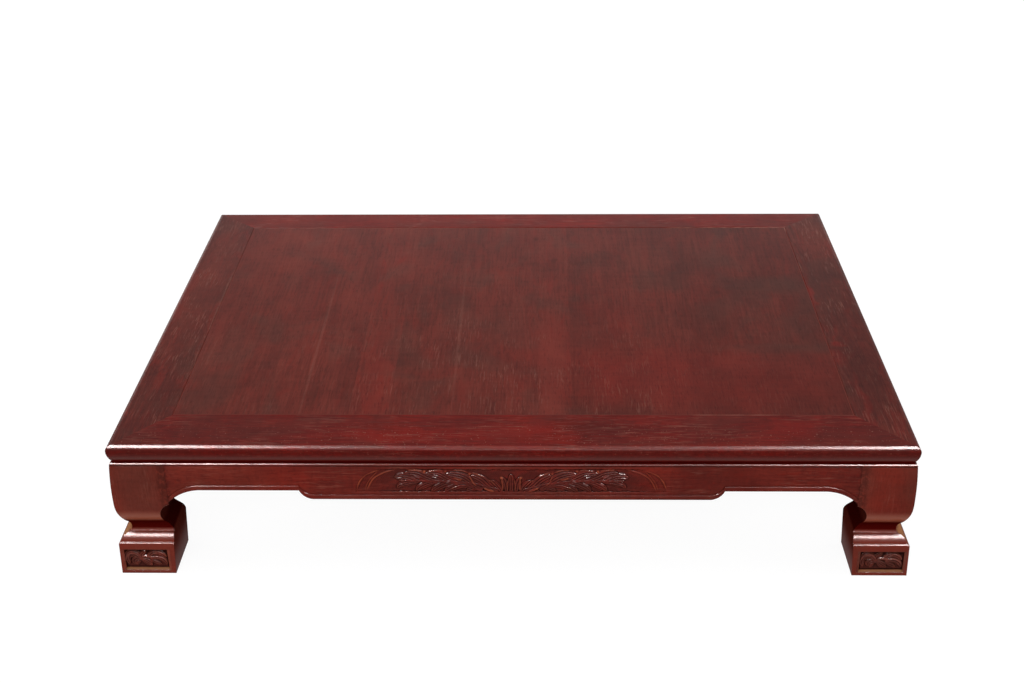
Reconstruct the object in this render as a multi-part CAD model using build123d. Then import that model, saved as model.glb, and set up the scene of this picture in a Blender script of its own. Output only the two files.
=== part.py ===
from build123d import *
import os

# Low table (kang table) in framed-panel joinery. Millimetres, origin on the floor at the
# middle of the table: +X to the right, -Y to the front, +Z up.
# "Inset" is a distance inwards from the outermost line of the tabletop's rim.

# Overall
top_length = 1200            # rim to rim, left to right
top_depth = 850              # rim to rim, front to back
table_height = 230

# Tabletop frame
frame_thickness = 26
front_rail_width = 92
back_rail_width = 72
stile_width = 82
rim_round = 8                # radius of the rim's upper arris
rim_foot_inset = 4.4         # the rim bellies in this far at its lower arris
rim_mitre = 12               # the corner mitre runs at 45 degrees this far in from the rim
open_arris = 2               # bevel round the inside of the frame, beside the panel
mitre_tenon_thickness = 8
mitre_tenon_inset = 28       # from the rim to the tenon's outer cheek
mitre_tenon_cover = 20       # wood left between the tenon's end and the rim
mitre_tenon_drop = 6         # from the tabletop down to the tenon
mitre_tenon_wall = 6         # wood left between the tenon and the panel's groove

# Floating panel
board_widths = (102, 90, 72, 60, 100, 134, 50, 154, 136, 138)   # their proportions fill the frame
panel_thickness = 15
panel_drop = 0.5             # the panel lies this far below the frame's face
panel_gap = 0.5              # open line between the panel and the frame
tongue_thickness = 6
tongue_length = 8
tongue_drop = 3.5            # from the panel's face down to its tongue
board_tongue_length = 6
groove_depth = 10

# Battens under the panel
batten_width = 44
batten_height = 18
batten_inset = 120           # from the panel's front and back edge to the outer battens' middle
key_height = 4               # dovetail key let into the boards
key_neck = 26
key_head = 32
batten_tenon_width = 28
batten_tenon_thickness = 6
batten_tenon_length = 16

# Faces of the aprons and legs. A "fall" is a distance down from the frame's underside.
face_top_inset = 1.5         # under the rim
face_mid_inset = -0.7
face_mid_fall = 42
face_low_inset = -1.1
face_low_fall = 64           # the face hangs plumb here
shadow_fall = 4.5              # height of the open line left under the rim
shadow_inset = 8.5
face_arris_round = 3           # round of the upper arris, down to the cut line
face_line_width = 1.1
face_line_depth = 0.9

# Legs
post_width = 81.5            # across the leg's face at the apron
waist_inset = 15.3
waist_height = 75
shoulder_inset = 1.8
shoulder_share = 0.51        # of the way from the plumb face down to the waist
shin_inset = 10
shin_share = 0.785
foot_crease_inset = 13       # where the shank's hollow meets the foot's cushion
foot_crease_height = 68.6
foot_cushion_inset = 4       # the cushion is one round through this point
foot_cushion_height = 65
foot_quirk_inset = -0.4      # the cushion ends on a narrow ledge here
foot_quirk_height = 56.4
foot_ledge_inset = -1.6
foot_ledge_height = 56
foot_top_inset = -3.4        # upper edge of the block's face, under its rounded arris
foot_height = 53.6
foot_sole_inset = -5
sole_width = 84
foot_top_width = 85.4
notch_top_fall = 77          # the leg's inner hollow starts here, under the apron
notch_foot_height = 61.8
notch_upper = (69, 0.816)    # inset, and share of the way from the hollow's foot to its top
notch_deepest = (66.3, 0.641)
notch_lower = (69, 0.434)
notch_turn = (80.2, 0.118)   # where the hollow turns down into the foot's inner side
leg_tenon_height = 9
leg_tenon_size = (24, 14)
leg_tenon_far = 62           # from the rim, along the member that holds the tenon
leg_tenon_near = 27          # from the rim, across that member

# Aprons
apron_thickness = 22
underside_fall = 50          # down to the straight lower edge
cusp_fall = 73               # down to the tip of the arch at the leg
arch_radius = 68
middle_fall = 65.5           # down to the lower edge of the middle section
front_middle_half = 298      # half of the lower middle section's length
side_middle_half = 170
slope_run = 20               # length of the slope at each end of the lower middle section
slope_turn_run = 0.62        # where the slope's curve passes, as shares of its run and rise
slope_turn_rise = 0.34
bead_width = 8
bead_proud = 1.6             # the bead stands this far out of the face
bead_round = 1.4             # radius of the bead's two edges
bead_line_width = 1.4        # cut line above the bead
bead_line_depth = 0.8
apron_tenon_thickness = 8
apron_tenon_length = 20
apron_tenon_fall = 9         # down to the tenon's upper cheek
apron_tenon_width = 32
apron_tongue_thickness = 6
apron_tongue_height = 5
apron_tongue_margin = 30     # the tongue stops this far from the legs

# Beds that hold the carving
bed_depth = 2.6
apron_bed_half = 238
side_bed_half = 120
apron_bed_fall = 10.5        # down to the bed's upper edge
apron_bed_width = 42.5
foot_bed_near = -1           # inset of the bed's outer end
foot_bed_far = 73
foot_bed_low = 5.5
foot_bed_high = 44.5

# Fits
slide_fit = 0.15             # clearance on each cheek of a tongue, key or tenon
end_fit = 0.5                # clearance at the end of a tongue or tenon

# Lines that several pieces share
half_length = top_length / 2
half_depth = top_depth / 2
frame_bottom = table_height - frame_thickness
open_x = half_length - stile_width
open_front = front_rail_width - half_depth
open_back = half_depth - back_rail_width
panel_top = table_height - panel_drop
panel_bottom = panel_top - panel_thickness
tongue_top = panel_top - tongue_drop
tongue_bottom = tongue_top - tongue_thickness
mitre_tenon_top = table_height - mitre_tenon_drop
face_low_height = frame_bottom - face_low_fall
notch_top_height = frame_bottom - notch_top_fall
apron_underside = frame_bottom - underside_fall
cusp_height = frame_bottom - cusp_fall
middle_height = frame_bottom - middle_fall
apron_tenon_high = frame_bottom - apron_tenon_fall
apron_tenon_low = apron_tenon_high - apron_tenon_width
apron_bed_high = frame_bottom - apron_bed_fall
apron_bed_low = apron_bed_high - apron_bed_width
seam_inset = face_top_inset + post_width
stock_length = 2 * top_length    # longer than any piece, for profiles that cut each other
stock_depth = 2 * top_depth
seam_x = half_length - seam_inset
seam_y = half_depth - seam_inset


def save(solid, name):
    solid.label = name
    export_step(solid, f"parts/{name}.step")


def block(x0, x1, y0, y1, z0, z1):
    return Pos((x0 + x1) / 2, (y0 + y1) / 2, (z0 + z1) / 2) * Box(x1 - x0, y1 - y0, z1 - z0)


def closed(half_outline):
    # Face of an outline that is drawn for +X and mirrored to -X.
    return make_face(half_outline + mirror(half_outline, Plane.YZ))


def along_x(face, length):
    return extrude(Plane.YZ * face, length / 2, both=True)


def along_y(face, length):
    return extrude(Plane.XZ * face, length / 2, both=True)


# ---------------------------------------------------------------- tabletop frame
def rim_section(width):
    half = width / 2
    arc_middle = rim_round * (1 - 0.5 ** 0.5)
    outline = Line((0, table_height), (half - rim_round, table_height))
    outline += ThreePointArc(
        (half - rim_round, table_height),
        (half - arc_middle, table_height - arc_middle),
        (half, table_height - rim_round))
    belly_top = table_height - rim_round
    belly = belly_top - frame_bottom
    belly_radius = (belly ** 2 + rim_foot_inset ** 2) / (2 * rim_foot_inset)
    middle_draw = belly_radius - (belly_radius ** 2 - (belly / 2) ** 2) ** 0.5
    outline += ThreePointArc((half, belly_top), (half - middle_draw, belly_top - belly / 2),
                             (half - rim_foot_inset, frame_bottom))
    outline += Line((half - rim_foot_inset, frame_bottom), (0, frame_bottom))
    return closed(outline)


def mitre_tenon(side, front, slack):
    # side is -1 or 1 for left or right. slack opens the same shape into its mortise.
    far_end = half_length - mitre_tenon_cover + (end_fit if slack else 0)
    x_ends = sorted((side * far_end, side * open_x))
    if front:
        y0 = mitre_tenon_inset - half_depth
        y1 = open_front - groove_depth - mitre_tenon_wall
    else:
        y0 = open_back + groove_depth + mitre_tenon_wall
        y1 = half_depth - mitre_tenon_inset
    return block(x_ends[0], x_ends[1], y0 - slack, y1 + slack,
                 mitre_tenon_top - mitre_tenon_thickness - slack, mitre_tenon_top + slack)


def leg_tenons(side_x, side_y, slack):
    # One tenon stands in the rail and one in the stile, either side of the mitre.
    long, short = leg_tenon_size
    top = frame_bottom + leg_tenon_height + (end_fit if slack else 0)
    tenons = []
    for far_x, size_x, size_y in ((True, long, short), (False, short, long)):
        x = side_x * (half_length - (leg_tenon_far if far_x else leg_tenon_near))
        y = side_y * (half_depth - (leg_tenon_near if far_x else leg_tenon_far))
        tenons.append(block(x - size_x / 2 - slack, x + size_x / 2 + slack,
                            y - size_y / 2 - slack, y + size_y / 2 + slack,
                            frame_bottom, top))
    return tenons


def apron_tongue(half_span, middle_inset, along, side, slack):
    # Ridge on the apron's top edge that stands in a groove under the frame.
    half = half_span - apron_tongue_margin + (end_fit if slack else 0)
    thick = apron_tongue_thickness / 2 + slack
    top = frame_bottom + apron_tongue_height + (end_fit if slack else 0)
    if along == "x":
        y = side * (half_depth - middle_inset)
        return block(-half, half, y - thick, y + thick, frame_bottom, top)
    x = side * (half_length - middle_inset)
    return block(x - thick, x + thick, -half, half, frame_bottom, top)


def batten_tenon(side, y, slack):
    reach = open_x + batten_tenon_length + (end_fit if slack else 0)
    x_ends = sorted((side * (open_x if slack else open_x - batten_tenon_length), side * reach))
    half = batten_tenon_width / 2 + slack
    top = panel_bottom + slack
    return block(x_ends[0], x_ends[1], y - half, y + half,
                 top - batten_tenon_thickness - 2 * slack, top)


apron_middle_inset = face_top_inset + apron_thickness / 2
batten_lines = {
    "batten_front": open_front + batten_inset,
    "batten_middle": (open_front + open_back) / 2,
    "batten_back": open_back - batten_inset,
}

panel_groove = block(-open_x - groove_depth, open_x + groove_depth,
                     open_front - groove_depth, open_back + groove_depth,
                     tongue_bottom - slide_fit, tongue_top + slide_fit)
open_bevel = extrude(Pos(0, (open_front + open_back) / 2, table_height - open_arris)
                     * Rectangle(2 * open_x, open_back - open_front), open_arris, taper=-45)
corners = [(side_x, side_y) for side_x in (-1, 1) for side_y in (-1, 1)]
frame_mortises = [panel_groove, open_bevel]
for side_x, side_y in corners:
    frame_mortises += leg_tenons(side_x, side_y, slide_fit)
for side in (-1, 1):
    frame_mortises.append(apron_tongue(seam_x, apron_middle_inset, "x", side, slide_fit))
    frame_mortises.append(apron_tongue(seam_y, apron_middle_inset, "y", side, slide_fit))


def frame_member(stock, plan):
    blank = extrude(make_face(Polyline(*plan, close=True)), 2 * table_height)
    member = stock & blank
    for mortise in frame_mortises:
        member -= mortise
    return member


def rail(front):
    rim_y = -half_depth if front else half_depth
    mitre_y = rim_y + (rim_mitre if front else -rim_mitre)
    open_y = open_front if front else open_back
    stock = along_x(rim_section(top_depth), stock_length)
    member = frame_member(stock, [(-half_length, rim_y), (half_length, rim_y),
                                  (half_length - rim_mitre, mitre_y), (open_x, open_y),
                                  (-open_x, open_y), (rim_mitre - half_length, mitre_y)])
    for side in (-1, 1):
        member += mitre_tenon(side, front, 0)
    return member


def stile(side):
    rim_x = side * half_length
    mitre_x = side * (half_length - rim_mitre)
    stock = along_y(rim_section(top_length), stock_depth)
    member = frame_member(stock, [(rim_x, -half_depth), (rim_x, half_depth),
                                  (mitre_x, half_depth - rim_mitre), (side * open_x, open_back),
                                  (side * open_x, open_front), (mitre_x, rim_mitre - half_depth)])
    for front in (True, False):
        member -= mitre_tenon(side, front, slide_fit)
    for y in batten_lines.values():
        member -= batten_tenon(side, y, slide_fit)
    return member


save(rail(True), "top_front_rail")
save(rail(False), "top_back_rail")
save(stile(-1), "top_left_stile")
save(stile(1), "top_right_stile")


# ---------------------------------------------------------------- battens and boards
def key_section(slack):
    neck = key_neck / 2 + slack
    head = key_head / 2 + slack
    top = panel_bottom + key_height + slack
    return closed(Line((0, panel_bottom), (neck, panel_bottom))
                  + Line((neck, panel_bottom), (head, top))
                  + Line((head, top), (0, top)))


def batten(y):
    length = 2 * (open_x - panel_gap)
    body = block(-length / 2, length / 2, y - batten_width / 2, y + batten_width / 2,
                 panel_bottom - batten_height, panel_bottom)
    body += Pos(0, y, 0) * along_x(key_section(0), length)
    for side in (-1, 1):
        body += batten_tenon(side, y, 0)
    return body


for batten_name, y in batten_lines.items():
    save(batten(y), batten_name)


def board(x0, x1, first, last):
    y0 = open_front + panel_gap
    y1 = open_back - panel_gap
    left = x0 + (panel_gap if first else 0)
    right = x1 - (panel_gap if last else 0)
    body = block(left, right, y0, y1, panel_bottom, panel_top)
    tongue_left = left - (tongue_length if first else 0)
    tongue_right = right + (tongue_length if last else board_tongue_length)
    body += block(tongue_left, tongue_right, y0 - tongue_length, y1 + tongue_length,
                  tongue_bottom, tongue_top)
    if not first:
        body -= block(left, left + board_tongue_length + end_fit,
                      y0 - tongue_length, y1 + tongue_length,
                      tongue_bottom - slide_fit, tongue_top + slide_fit)
    for y in batten_lines.values():
        body -= Pos(0, y, 0) * along_x(key_section(slide_fit), top_length)
    return body


board_scale = 2 * open_x / sum(board_widths)
board_left = -open_x
for number, width in enumerate(board_widths, 1):
    board_right = board_left + width * board_scale
    save(board(board_left, board_right, number == 1, number == len(board_widths)),
         f"panel_board_{number:02d}")
    board_left = board_right


# ---------------------------------------------------------------- aprons and legs
def face_edges(half, low_height):
    # The outer face from its top arris down to low_height, for a section whose outermost
    # rim line stands at half. Ends on the bowed face.
    def at(inset, height):
        return (half - inset, height)
    arris = face_arris_round * (1 - 0.5 ** 0.5)
    arris_top = frame_bottom - shadow_fall
    line_top = arris_top - face_arris_round
    line_low = line_top - face_line_width
    edges = Line(at(shadow_inset, frame_bottom), at(shadow_inset, arris_top))
    edges += Line(at(shadow_inset, arris_top), at(face_top_inset + face_arris_round, arris_top))
    edges += ThreePointArc(at(face_top_inset + face_arris_round, arris_top),
                           at(face_top_inset + arris, arris_top - arris),
                           at(face_top_inset, line_top))
    edges += Line(at(face_top_inset, line_top),
                  at(face_top_inset + face_line_depth, (line_top + line_low) / 2))
    edges += Line(at(face_top_inset + face_line_depth, (line_top + line_low) / 2),
                  at(face_top_inset, line_low))
    edges += ThreePointArc(at(face_top_inset, line_low),
                           at(face_mid_inset, frame_bottom - face_mid_fall),
                           at(face_low_inset, face_low_height))
    if low_height < face_low_height:
        edges += Line(at(face_low_inset, face_low_height), at(face_low_inset, low_height))
    return edges


def leg_profile(half):
    def at(inset, height):
        return (half - inset, height)

    def on_shank(inset, share):
        return at(inset, face_low_height - share * (face_low_height - waist_height))

    def in_notch(inset, share):
        return at(inset, notch_foot_height + share * (notch_top_height - notch_foot_height))

    foot_inner_top = foot_top_inset + foot_top_width
    outline = face_edges(half, face_low_height)
    outline += Spline([at(face_low_inset, face_low_height),
                       on_shank(shoulder_inset, shoulder_share),
                       on_shank(shin_inset, shin_share), at(waist_inset, waist_height)],
                      tangents=[(0, -1), (0, -1)])
    outline += Spline([at(waist_inset, waist_height), at(foot_crease_inset, foot_crease_height)],
                      tangents=[(0, -1), (0.65, -1)])
    outline += ThreePointArc(at(foot_crease_inset, foot_crease_height),
                             at(foot_cushion_inset, foot_cushion_height),
                             at(foot_quirk_inset, foot_quirk_height))
    outline += Line(at(foot_quirk_inset, foot_quirk_height), at(foot_ledge_inset, foot_ledge_height))
    arris_turn = (foot_top_inset + 0.28 * (foot_ledge_inset - foot_top_inset),
                  foot_height + 0.72 * (foot_ledge_height - foot_height))
    outline += ThreePointArc(at(foot_ledge_inset, foot_ledge_height), at(*arris_turn),
                             at(foot_top_inset, foot_height))
    outline += Line(at(foot_top_inset, foot_height), at(foot_sole_inset, 0))
    outline += Line(at(foot_sole_inset, 0), at(foot_sole_inset + sole_width, 0))
    outline += Line(at(foot_sole_inset + sole_width, 0), at(foot_inner_top, notch_foot_height))
    outline += Spline([at(foot_inner_top, notch_foot_height), in_notch(*notch_turn),
                       in_notch(*notch_lower), in_notch(*notch_deepest), in_notch(*notch_upper),
                       at(seam_inset, notch_top_height)])
    outline += Line(at(seam_inset, notch_top_height), at(seam_inset, frame_bottom))
    outline += Line(at(seam_inset, frame_bottom), at(shadow_inset, frame_bottom))
    return make_face(outline)


def foot_beds():
    # Shallow beds on the two outer faces of the right back foot. Their floors follow the
    # slant of the foot's face.
    slant = (foot_top_inset - foot_sole_inset) / foot_height
    floor_low = foot_sole_inset + slant * foot_bed_low + bed_depth
    floor_high = foot_sole_inset + slant * foot_bed_high + bed_depth
    outer = foot_sole_inset - bed_depth

    def bed_section(half):
        return make_face(Polyline((half - floor_low, foot_bed_low), (half - outer, foot_bed_low),
                                  (half - outer, foot_bed_high), (half - floor_high, foot_bed_high),
                                  close=True))
    bed_length = foot_bed_far - foot_bed_near
    bed_middle = (foot_bed_far + foot_bed_near) / 2
    back_bed = Pos(half_length - bed_middle, 0, 0) * along_x(bed_section(half_depth), bed_length)
    end_bed = Pos(0, half_depth - bed_middle, 0) * along_y(bed_section(half_length), bed_length)
    return [back_bed, end_bed]


def apron_mortises():
    # Mortises for the apron tenons in the right back leg.
    low = apron_tenon_low - slide_fit
    high = apron_tenon_high + slide_fit
    thick = apron_tenon_thickness / 2 + slide_fit
    depth = apron_tenon_length + end_fit
    y = half_depth - apron_middle_inset
    x = half_length - apron_middle_inset
    return [block(seam_x, seam_x + depth, y - thick, y + thick, low, high),
            block(x - thick, x + thick, seam_y, seam_y + depth, low, high)]


def right_back_leg():
    leg = along_y(leg_profile(half_length), stock_depth)
    leg &= along_x(leg_profile(half_depth), stock_length)
    for cut in foot_beds() + apron_mortises():
        leg -= cut
    for tenon in leg_tenons(1, 1, 0):
        leg += tenon
    return leg


master_leg = right_back_leg()
right_front_leg = mirror(master_leg, Plane.XZ)
save(master_leg, "leg_back_right")
save(right_front_leg, "leg_front_right")
save(mirror(master_leg, Plane.YZ), "leg_back_left")
save(mirror(right_front_leg, Plane.YZ), "leg_front_left")


def lower_edge(half_span, middle_half, lift):
    # Half of an apron's lower edge, from the middle out to the leg, raised by lift.
    fall = apron_underside - cusp_height
    arch_run = (2 * arch_radius * fall - fall ** 2) ** 0.5
    arch_x = half_span - arch_run
    arch_middle_fall = arch_radius - (arch_radius ** 2 - (arch_run / 2) ** 2) ** 0.5
    slope_x = middle_half + slope_run
    turn = (middle_half + slope_run * slope_turn_run,
            middle_height + (apron_underside - middle_height) * slope_turn_rise)
    edges = Line((0, middle_height), (middle_half, middle_height))
    edges += ThreePointArc((middle_half, middle_height), turn, (slope_x, apron_underside))
    edges += Line((slope_x, apron_underside), (arch_x, apron_underside))
    edges += ThreePointArc((arch_x, apron_underside),
                           (arch_x + arch_run / 2, apron_underside - arch_middle_fall),
                           (half_span, cusp_height))
    return Pos(0, lift) * edges


def apron_outline(half_span, middle_half):
    low = lower_edge(half_span, middle_half, 0)
    return closed(low + Line((half_span, cusp_height), (half_span, frame_bottom))
                  + Line((half_span, frame_bottom), (0, frame_bottom)))


def edge_band(half_span, middle_half, low_lift, high_lift):
    # The strip of the face between two copies of the lower edge.
    low = lower_edge(half_span, middle_half, low_lift)
    high = lower_edge(half_span, middle_half, high_lift)
    return closed(low + Line((half_span, cusp_height + low_lift), (half_span, cusp_height + high_lift))
                  + high)


def apron_section(half, proud):
    # Section of the right-hand or back apron, as seen along it.
    low = min(middle_height, cusp_height) - bead_width
    edges = face_edges(half, low)
    edges += Line((half - face_low_inset, low), (half - face_top_inset - apron_thickness, low))
    edges += Line((half - face_top_inset - apron_thickness, low),
                  (half - face_top_inset - apron_thickness, frame_bottom))
    edges += Line((half - face_top_inset - apron_thickness, frame_bottom),
                  (half - shadow_inset, frame_bottom))
    return Pos(proud, 0) * make_face(edges)


def back_apron(half_span, half, middle_half, bed_half):
    # Apron along X, with its face towards +Y at the distance half. Turned for the ends.
    span = 2 * half_span
    apron = along_y(apron_outline(half_span, middle_half), stock_length)
    apron &= along_x(apron_section(half, 0), span)
    bead = along_y(edge_band(half_span, middle_half, 0, bead_width), stock_length)
    bead &= along_x(apron_section(half, bead_proud), span)
    bead_edges = bead.edges().filter_by(lambda e: e.center().Y > half - face_low_inset
                                        and abs(e.center().X) < half_span - bead_round)
    bead = fillet(bead_edges, bead_round)
    line_top = bead_width + bead_line_width
    bead_line = along_y(edge_band(half_span, middle_half, bead_width, line_top), stock_length)
    bead_line -= along_x(apron_section(half, -bead_line_depth), span)
    apron -= bead_line
    apron += bead
    apron -= block(-bed_half, bed_half, half - bed_depth, half + bed_depth,
                   apron_bed_low, apron_bed_high)
    y = half - apron_middle_inset
    thick = apron_tenon_thickness / 2
    reach = half_span + apron_tenon_length
    apron += block(-reach, reach, y - thick, y + thick, apron_tenon_low, apron_tenon_high)
    return apron


front_back_apron = back_apron(seam_x, half_depth, front_middle_half, apron_bed_half)
end_apron = back_apron(seam_y, half_length, side_middle_half, side_bed_half)
turns = {"apron_back": (front_back_apron, 0), "apron_front": (front_back_apron, 180),
         "apron_left": (end_apron, 90), "apron_right": (end_apron, -90)}
for apron_name, (apron, turn) in turns.items():
    turned = Rot(0, 0, turn) * apron
    along = "x" if turn in (0, 180) else "y"
    side = 1 if turn in (0, -90) else -1
    turned += apron_tongue(seam_x if along == "x" else seam_y, apron_middle_inset, along, side, 0)
    save(turned, apron_name)
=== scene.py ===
import bmesh
import bpy
import math
import numpy as np
from functools import partial
from mathutils import Matrix, Vector


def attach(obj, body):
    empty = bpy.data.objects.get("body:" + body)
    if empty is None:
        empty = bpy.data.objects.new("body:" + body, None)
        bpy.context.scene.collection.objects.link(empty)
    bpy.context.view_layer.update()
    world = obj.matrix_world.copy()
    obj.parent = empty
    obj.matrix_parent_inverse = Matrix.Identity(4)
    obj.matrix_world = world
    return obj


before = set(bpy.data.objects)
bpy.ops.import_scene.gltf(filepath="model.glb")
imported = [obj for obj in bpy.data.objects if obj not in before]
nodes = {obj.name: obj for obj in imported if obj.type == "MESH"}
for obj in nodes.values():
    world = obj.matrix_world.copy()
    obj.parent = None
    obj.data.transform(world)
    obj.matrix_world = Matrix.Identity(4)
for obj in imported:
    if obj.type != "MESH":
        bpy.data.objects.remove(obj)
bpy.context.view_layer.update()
print("frame loaded:", len(nodes), "nodes")


# Small helpers

def linearColor(code):
    # sRGB hex to the linear colour that the shaders take
    parts = [int(code[i:i + 2], 16) / 255 for i in (1, 3, 5)]
    return tuple(p / 12.92 if p <= 0.04045 else ((p + 0.055) / 1.055) ** 2.4 for p in parts) + (1.0,)


def addNode(tree, kind, settings=None, inputs=(), out=0):
    # settings are the node's own options; an input is a plain value, or another node's output to link
    node = tree.nodes.new("ShaderNode" + kind)
    for key, value in (settings or {}).items():
        setattr(node, key, value)
    for key, value in (inputs.items() if isinstance(inputs, dict) else enumerate(inputs)):
        if isinstance(value, bpy.types.NodeSocket):
            tree.links.new(value, node.inputs[key])
        else:
            node.inputs[key].default_value = value
    return node.outputs[out] if node.outputs else None


def addObject(name, data):
    made = bpy.data.objects.new(name, data)
    bpy.context.scene.collection.objects.link(made)
    return made


def addMesh(name, bm, material):
    mesh = bpy.data.meshes.new(name)
    bm.to_mesh(mesh)
    bm.free()
    mesh.materials.append(material)
    return addObject(name, mesh)


# Camera

cameraValues = {
    "place": (0.0438, -2.1173, 1.3505),   # metres
    "turn": 1.36,                         # degrees
    "lookDown": 29.1,
    "roll": -0.66,
    "lens": 48.55,                        # mm on a 36 mm sensor
}


def setCamera(values):
    camera = addObject("camera", bpy.data.cameras.new("camera"))
    camera.data.sensor_width = 36
    camera.data.lens = values["lens"]
    camera.data.clip_end = 60
    camera.matrix_world = (Matrix.Translation(values["place"])
                           @ Matrix.Rotation(math.radians(values["turn"]), 4, "Z")
                           @ Matrix.Rotation(math.radians(90 - values["lookDown"]), 4, "X")
                           @ Matrix.Rotation(math.radians(values["roll"]), 4, "Z"))
    bpy.context.scene.camera = camera


setCamera(cameraValues)
print("camera set")


# Rosewood, planed and finished in clear lacquer rubbed to a satin shine

woodValues = {
    # tones: dark growth lines, the wood between them, its light bands, the redder figure, and the
    # grey of old wax, which the rails also take as painted shade on the rim's lower belly
    "panel": {"dark": "#47180F", "mid": "#5E2119", "light": "#6A281E", "red": "#741A11", "grey": "#4F2820"},
    "rail": {"dark": "#460C07", "mid": "#5F0E07", "light": "#6C130A", "red": "#7C1208", "grey": "#531D16"},
    "stile": {"dark": "#3D130D", "mid": "#541C15", "light": "#62241A", "red": "#74150C", "grey": "#4A251D"},
    "base": {"dark": "#4A130E", "mid": "#5D1E17", "light": "#6C251B", "red": "#70160D", "grey": "#55251D"},
    "leg": {"dark": "#4E170F", "mid": "#63241A", "light": "#702B20", "red": "#721A10", "grey": "#5C2A21"},
    "foot": {"dark": "#3E1810", "mid": "#642E24", "light": "#78392B", "red": "#762014", "grey": "#5C362E"},
    "batten": {"dark": "#3C2114", "mid": "#5A3520", "light": "#6E4630", "red": "#6A3420", "grey": "#54382A"},
    "hollow": "#180403",          # painted shade in hollows, open lines and under the rim
    "rubbedAndSheen": "#93492C",          # thinner colour where cloths rub the edges; on the knees, a painted reflection of the floor
    "worn": "#A84E30",            # the same on the carving's thin ridges and knobs
    "sunken": "#400E08",          # duller wood inside the carving, out of the cloth's reach
    "ledge": "#470605",           # painted shade on the ledge under the rim; dark lacquer on the rim's face
    "inner": "#2A0503",           # painted shade on the unpolished inner faces, darker towards the top
    "pale": "#8E5A4C",            # open pores and fine scratches, filled with dry wax; also painted glints in the pores
    "ankleShade": "#3C0201",           # painted shade, deep red, in the ankle above the feet
    "paintedLight": "#A8744A",            # painted light and reflection on the outer hollows of the legs; painted light on the feet's sills
    "shine": 0.12,                # weight of the lacquer coat on the flats
    "edgeShine": 0.08,            # added where an edge is rubbed
    "arrisShine": 0.26,           # the same on the upper arris of aprons and legs
    "carvedShine": 0.09,          # added inside the carving
    "underShine": 0.28,           # added on the rim's lower belly, which cloths don't reach
    "coatRoughness": {"panel": 0.26, "rail": 0.27, "stile": 0.27, "base": 0.26, "leg": 0.32, "foot": 0.26,
                      "batten": 0.4},
    "roughness": 0.5,
    "edgeRound": 0.0012,          # metres, smallest round on any arris
}

# left edge in mm, tone, redness and pattern shift of each board
boardTones = [
    (-518, 0.51, 0.22, 0.11), (-416, 0.52, 0.25, 0.53), (-326, 0.52, 0.30, 0.87),
    (-254, 0.57, 0.60, 0.29), (-194, 0.50, 0.30, 0.71), (-94, 0.50, 0.34, 0.17),
    (40, 0.54, 0.60, 0.61), (90, 0.42, 0.40, 0.93), (244, 0.36, 0.30, 0.41), (380, 0.33, 0.28, 0.77)]

# stains, streaks and worn places: kind, middle and half size in mm, strength
panelMarks = [
    ("red", -222, -230, 30, 190, 0.3), ("pale", -326, -120, 3, 300, 0.12), ("pale", -93, -90, 3, 280, 0.12),
    ("dark", -312, -250, 8, 110, 0.28), ("dark", -168, -240, 22, 120, 0.2), ("pale", 64, -200, 26, 150, 0.1),
    ("dark", 150, -300, 80, 80, 0.3), ("grey", 450, 105, 80, 40, 0.65), ("grey", 430, -128, 110, 22, 0.75),
    ("grey", 270, 210, 170, 80, 0.25), ("dark", 20, 175, 70, 22, 0.15), ("red", 5, -150, 40, 130, 0.15),
    ("dark", 420, -260, 150, 90, 0.55), ("red", 340, -230, 240, 130, 0.5), ("red", 160, -150, 90, 200, 0.35),
    ("red", 62, -190, 30, 210, 0.4), ("dark", 35, 308, 7, 9, 0.5), ("dark", 67, 208, 7, 13, 0.5),
    ("dark", 117, 193, 17, 8, 0.45), ("dark", 180, -120, 60, 60, 0.2), ("dark", 330, -60, 60, 110, 0.25),
    ("light", -60, -230, 60, 70, 0.3), ("dark", -120, 60, 50, 90, 0.12), ("light", -440, 250, 90, 110, 0.3)]
railMarks = [
    ("red", -150, -388, 150, 24, 0.4), ("red", 20, -385, 80, 30, 0.4), ("dark", -330, -380, 90, 8, 0.35),
    ("dark", -120, -368, 60, 7, 0.35), ("dark", 170, -372, 100, 18, 0.4), ("red", 424, -372, 34, 28, 0.35),
    ("dark", 300, -385, 70, 24, 0.3), ("light", -190, 400, 110, 26, 0.5), ("red", 0, 392, 110, 22, 0.25),
    ("light", -420, 396, 130, 30, 0.4)]
stileMarks = [
    ("dark", -556, -60, 14, 170, 0.4), ("red", -590, 50, 12, 120, 0.4), ("pale", -520, 60, 4, 150, 0.18),
    ("dark", -548, -280, 20, 80, 0.3), ("red", 521, 70, 7, 80, 0.6), ("red", 534, -114, 16, 11, 0.7),
    ("red", 524, -155, 24, 34, 0.3), ("dark", 560, -230, 34, 160, 0.45), ("red", 544, -310, 9, 90, 0.3),
    ("light", -562, 140, 44, 300, 0.6), ("light", 565, 320, 34, 130, 0.5), ("dark", 560, 0, 50, 240, 0.4)]
apronMarks = [("light", -430, -425, 130, 40, 0.55), ("dark", 300, -425, 70, 40, 0.4),
              ("red", -330, -425, 40, 40, 0.3)]
legMarks = [("grey", -562, -425, 34, 40, 0.7), ("red", 560, -425, 26, 40, 0.35)]


# settings that many nodes share
plus, minus, times = {"operation": "ADD"}, {"operation": "SUBTRACT"}, {"operation": "MULTIPLY"}
timesPlus, heldTimes = {"operation": "MULTIPLY_ADD"}, {"operation": "MULTIPLY", "use_clamp": True}
heldTimesPlus = {"operation": "MULTIPLY_ADD", "use_clamp": True}
absolute, larger = {"operation": "ABSOLUTE"}, {"operation": "MAXIMUM"}
smooth = {"interpolation_type": "SMOOTHSTEP"}     # inputs: value, where it starts, where it is full

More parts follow.
